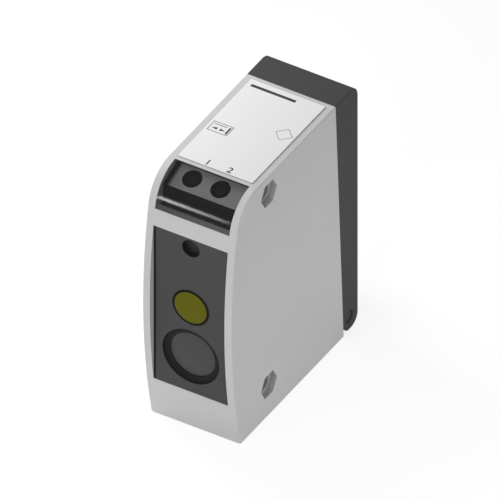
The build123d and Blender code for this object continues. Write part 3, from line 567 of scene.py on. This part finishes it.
# %% Bars, frames and numerals
ink = bmesh.new()
print_low = sheet_top
print_high = label_high[2]
# Ink spreads a little as it is pressed through the screen, which makes strokes bolder
stroke_growth = 0.05


def bar(x_low, x_high, y_low, y_high):
    """A printed bar between those places."""
    corners = [(x_low, y_low), (x_high, y_low), (x_high, y_high), (x_low, y_high)]
    raise_outline(ink, corners, print_low, print_high)


def open_frame(points, line):
    """A closed line of that width along the points, with mitred corners."""
    count = len(points)
    loops = []
    for reach in (line / 2, -line / 2):
        shifted = []
        for i in range(count):
            before, corner, after = Vector(points[i - 1]), Vector(points[i]), Vector(points[(i + 1) % count])
            across_first = (corner - before).orthogonal().normalized()
            across_second = (after - corner).orthogonal().normalized()
            both = across_first + across_second
            shifted.append(corner + both * reach / (1 + across_first.dot(across_second)))
        for height in (print_low, print_high):
            loops.append([ink.verts.new((x * mm, y * mm, height * mm)) for x, y in shifted])
    outer_low, outer_high, inner_low, inner_high = loops
    for first, second in (
        (outer_low, outer_high), (outer_high, inner_high), (inner_high, inner_low), (inner_low, outer_low),
    ):
        for i in range(count):
            j = (i + 1) % count
            ink.faces.new((first[i], first[j], second[j], second[i]))


def numeral(text, x, y, size):
    """A printed numeral whose middle is at x, y."""
    curve = bpy.data.curves.new("numeral", "FONT")
    curve.body = text
    curve.size = size * mm
    curve.offset = stroke_growth * mm
    curve.extrude = ink_thickness / 2 * mm
    curve.align_x = "CENTER"
    curve.align_y = "CENTER"
    letter = bpy.data.objects.new("numeral", curve)
    shape = bpy.data.meshes.new_from_object(letter)
    shape.transform(letter.matrix_world)
    for vertex in shape.vertices:
        vertex.co += Vector((x * mm, y * mm, (print_low + print_high) / 2 * mm))
    ink.from_mesh(shape)
    bpy.data.objects.remove(letter)
    bpy.data.meshes.remove(shape)


print("ink", round(print_high - print_low, 3), "mm thick")

# %% Print the marks
bar(-11.3, 4.1, 20.3, 21.4)

diagram = [(-11.8, -3.5), (-5.2, -3.5), (-5.2, 0.9), (-11.8, 0.9)]
diagram_line = 0.2
open_frame(diagram, diagram_line)
bar(-6.2, -5.6, -3.0, 0.3)
bar(-11.2, -6.9, -0.15, 0.1)
arrow_y = -1.9
arrow_half = 0.55
for tip, tail in ((-11.2, -9.3), (-6.6, -8.4)):
    arrow = [(tip, arrow_y), (tail, arrow_y - arrow_half), (tail, arrow_y + arrow_half)]
    raise_outline(ink, arrow, print_low, print_high)

diamond_x, diamond_y, diamond_reach = 9.1, 5.8, 2.85
diamond_line = 0.14
diamond = [
    (diamond_x + diamond_reach, diamond_y), (diamond_x, diamond_y + diamond_reach),
    (diamond_x - diamond_reach, diamond_y), (diamond_x, diamond_y - diamond_reach),
]
open_frame(diamond, diamond_line)

numeral_size = 3.6
numeral("1", -3.4, -17.0, numeral_size)
numeral("2", 4.1, -16.9, numeral_size)
# Screen ink: flat, dark grey rather than black
screen_ink = grained("screen_printed_ink", "#3a3a3c", 0.6, grain=0.3, relief=0.001)
label_ink = make_piece("label_ink", ink, screen_ink)

# %% [markdown]
# ## The threaded connector
#
# The round connector on the back has a metric thread of 12 mm with 1 mm pitch. The CAD
# solid is a plain cylinder there. The shell is turned from bar, so it is drawn the way a
# lathe would cut it: rings of points along the axis, each at the radius that the profile
# has there. In the thread the radius also depends on the angle, which makes the helix.

# %% Sizes of the shell
shell_low, shell_high = [[c / mm for c in corner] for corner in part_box("connector_shell")]
axis_z = (shell_low[2] + shell_high[2]) / 2
hex_thickness = 2.5
hex_flats = 19.0
thread_length = 10.5
crest_radius = 6.0
pitch = 1.0
thread_depth = 0.61 * pitch
# A metric crest is an eighth of the pitch wide and the root a quarter, so the flank runs
# from 1/16 to 3/8 of the pitch, counted from the middle of the crest
crest_share = 1 / 16
root_share = 3 / 8
runout_start = 0.2
runout_length = 0.8
bore_radius = 4.4
body_radius = 7.6
groove_inner = 7.75
groove_outer = 8.95
groove_depth = 1.2
tip_chamfer = 0.5
around = 96
samples_per_turn = 14
flange_back = shell_high[1] - thread_length
flange_front = flange_back - hex_thickness
corner_limit = hex_flats / 2 * 1.09
edge_bevel = 0.35
print("hexagon", round(shell_high[0] - shell_low[0], 2), "x", round(shell_high[2] - shell_low[2], 2), "mm")


# %% Profiles of a turned ring
def hexagon(angle, flats, limit=20):
    """Radius at that angle of a hexagon that is `flats` wide, with its corners cut at `limit`."""
    within = (angle % (math.pi / 3)) - math.pi / 6
    return min(flats / 2 / math.cos(within), limit)


def thread(angle, y):
    """Radius of the thread at that angle and depth, with a run-out at the flange."""
    phase = (y / pitch - angle / (2 * math.pi)) % 1.0
    from_crest = min(phase, 1 - phase)
    cut = min(max((from_crest - crest_share) / (root_share - crest_share), 0.0), 1.0)
    neck = min(max((y - flange_back - runout_start) / runout_length, 0.0), 1.0)
    return crest_radius - thread_depth * (cut * neck + 1 - neck)


def turn_rings(mesh, stations, place):
    """Join rings of points: a station is a depth and the radius there at each angle."""
    rings = []
    for depth, radius_at in stations:
        points = []
        for step in range(around):
            angle = 2 * math.pi * step / around
            radius = radius_at(angle)
            point = Vector(place(depth, radius * math.cos(angle), radius * math.sin(angle)))
            points.append(mesh.verts.new(point * mm))
        rings.append(points)
    for first, second in zip(rings, rings[1:] + rings[:1]):
        for step in range(around):
            after = (step + 1) % around
            mesh.faces.new((first[step], first[after], second[after], second[step]))


print("thread", round(thread_depth, 2), "mm deep")
print("corners of the hexagon", round(hexagon(0, hex_flats), 2), "mm from the axis")

# %% Turn the connector shell
groove_floor = flange_front + groove_depth
stations = [
    (shell_low[1], lambda a: bore_radius),
    (shell_low[1], lambda a: body_radius),
    (flange_front, lambda a: body_radius),
    (flange_front, lambda a: groove_inner),
    (groove_floor, lambda a: groove_inner),
    (groove_floor, lambda a: groove_outer),
    (flange_front, lambda a: groove_outer),
    (flange_front, lambda a: hexagon(a, hex_flats, corner_limit)),
    (flange_front + edge_bevel, lambda a: hexagon(a, hex_flats)),
    (flange_back - edge_bevel, lambda a: hexagon(a, hex_flats)),
    (flange_back, lambda a: hexagon(a, hex_flats, corner_limit)),
]
for step in range(int(thread_length / pitch * samples_per_turn) + 1):
    y = flange_back + step * pitch / samples_per_turn
    cap = crest_radius + min(0.0, shell_high[1] - tip_chamfer - y)
    stations.append((y, lambda a, y=y, cap=cap: min(thread(a, y), cap)))
stations.append((shell_high[1], lambda a: bore_radius))

shell = bmesh.new()
turn_rings(shell, stations, lambda depth, a, b: (a, depth, axis_z + b))
threaded_shell = make_piece("threaded_shell", shell, nickel)
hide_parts("connector_shell")

# %% [markdown]
# ## Collars in the nut pockets
#
# Two bolts can pass across the case, and each end of a bore widens into a hexagonal pocket.
# On the real case a moulded collar round the bore leaves the pocket about two millimetres
# deep, so the collar and the dark bore in it show from the side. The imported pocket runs
# twice as deep, and each collar stands on its floor. It is the same turned ring of points,
# with the hexagon outside and the bore inside.

# %% Mould the collars
pocket_floor = 4.2
collar_top = 1.95
pocket_flats = 7.98
bolt_radius = 2.7
floor_x = half_case - pocket_floor
top_x = half_case - collar_top
collar = [
    (floor_x, lambda a: bolt_radius),
    (floor_x, lambda a: hexagon(a, pocket_flats)),
    (top_x, lambda a: hexagon(a, pocket_flats)),
    (top_x, lambda a: bolt_radius),
]
collars = bmesh.new()
for side in (-1, 1):
    for _, bore_y, bore_z in bores:
        turn_rings(collars, collar, lambda depth, a, b: (side * depth, bore_y + a, bore_z + b))
pocket_collars = make_piece("pocket_collars", collars, housing_abs)

# %% [markdown]
# ## Floor, world and lights
#
# The photograph has a plain white ground and very soft light: the roof is the brightest
# side, the front a little darker and the long side about two thirds of the roof. A white
# world gives all sides their share. Four panel lamps add the rest, as a photographer would
# place them: a key close above the left, so that the roof grows darker to the right, a
# small one far in front, which draws the bright line in the window, a broad one high in
# front for the plate, and a low one at the right, for the foot of the long side.

# %% Fill the room with light
room_light = 0.42
world = bpy.data.worlds.new("soft_studio")
world.use_nodes = True
bpy.context.scene.world = world
world.node_tree.nodes.clear()
path = put(world, "ShaderNodeLightPath")
level = put(
    world, "ShaderNodeMapRange", {"To Min": room_light, "To Max": 1.0},
    {"Value": path.outputs["Is Camera Ray"]},
)
sky = put(world, "ShaderNodeBackground", {"Color": linear("#ffffff")}, {"Strength": level.outputs["Result"]})
put(world, "ShaderNodeOutputWorld", {}, {"Surface": sky.outputs["Background"]})
print("the room lights the sensor at", room_light, "and looks white")


# %% Place the panel lamps
def panel_lamp(name, place, aim, width, height, watts):
    """A soft lamp of that width and height at `place` that looks at `aim`, all in metres."""
    lamp = bpy.data.objects.new(name, bpy.data.lights.new(name, "AREA"))
    lamp.data.shape = "RECTANGLE"
    lamp.data.size = width
    lamp.data.size_y = height
    lamp.data.energy = watts
    lamp.location = place
    lamp.rotation_euler = (Vector(aim) - Vector(place)).to_track_quat("-Z", "Y").to_euler()
    bpy.context.scene.collection.objects.link(lamp)
    print(name, "at", place, "with", watts, "W")


panel_lamp("key_panel", (-0.145, 0.03, 0.17), (0, 0, 0.09), 0.10, 0.10, 0.216)
panel_lamp("front_strip", (-0.211, -0.45, 0.119), (0, -0.03, 0.08), 0.06, 0.06, 0.22)
panel_lamp("front_panel", (0.06, -0.34, 0.30), (0, -0.03, 0.05), 0.15, 0.15, 0.34)
panel_lamp("side_panel", (0.14, 0, 0.015), (0, 0, 0.015), 0.2, 0.03, 0.033)

# %% [markdown]
# ## The ground
#
# The ground is a large sheet of white paper. To the camera it is white by its own colour
# and glow, with a soft shadow left in it, and to all other rays it is plain paper, so
# that it throws a natural amount of light back onto the sensor.

# %% Lay the floor
sheet_half = 1.5
floor_corners = [(x * sheet_half, y * sheet_half, 0) for x, y in ((-1, -1), (1, -1), (1, 1), (-1, 1))]
floor_mesh = bpy.data.meshes.new("studio_floor")
floor_mesh.from_pydata(floor_corners, [], [(0, 1, 2, 3)])
floor = bpy.data.objects.new("studio_floor", floor_mesh)
bpy.context.scene.collection.objects.link(floor)
print("floor", 2 * sheet_half, "m wide")

# %% Paper for the floor
# White paper: to the camera a clean ground with the sensor's shadow in it
paper = bpy.data.materials.new("studio_paper")
paper.use_nodes = True
paper.node_tree.nodes.clear()
path = put(paper, "ShaderNodeLightPath")
diffuse = put(paper, "ShaderNodeBsdfDiffuse", {"Color": linear("#f6f6f6")})
shade = put(paper, "ShaderNodeBsdfDiffuse", {"Color": linear("#959595")})
glow = put(paper, "ShaderNodeEmission", {"Color": linear("#ffffff"), "Strength": 0.8})
ground = put(paper, "ShaderNodeAddShader", {}, {0: shade.outputs["BSDF"], 1: glow.outputs["Emission"]})
mixed = put(
    paper, "ShaderNodeMixShader", {},
    {0: path.outputs["Is Camera Ray"], 1: diffuse.outputs["BSDF"], 2: ground.outputs["Shader"]},
)
put(paper, "ShaderNodeOutputMaterial", {}, {"Surface": mixed.outputs["Shader"]})
floor_mesh.materials.append(paper)

# %% Finish
bpy.context.scene.view_settings.view_transform = "Standard"
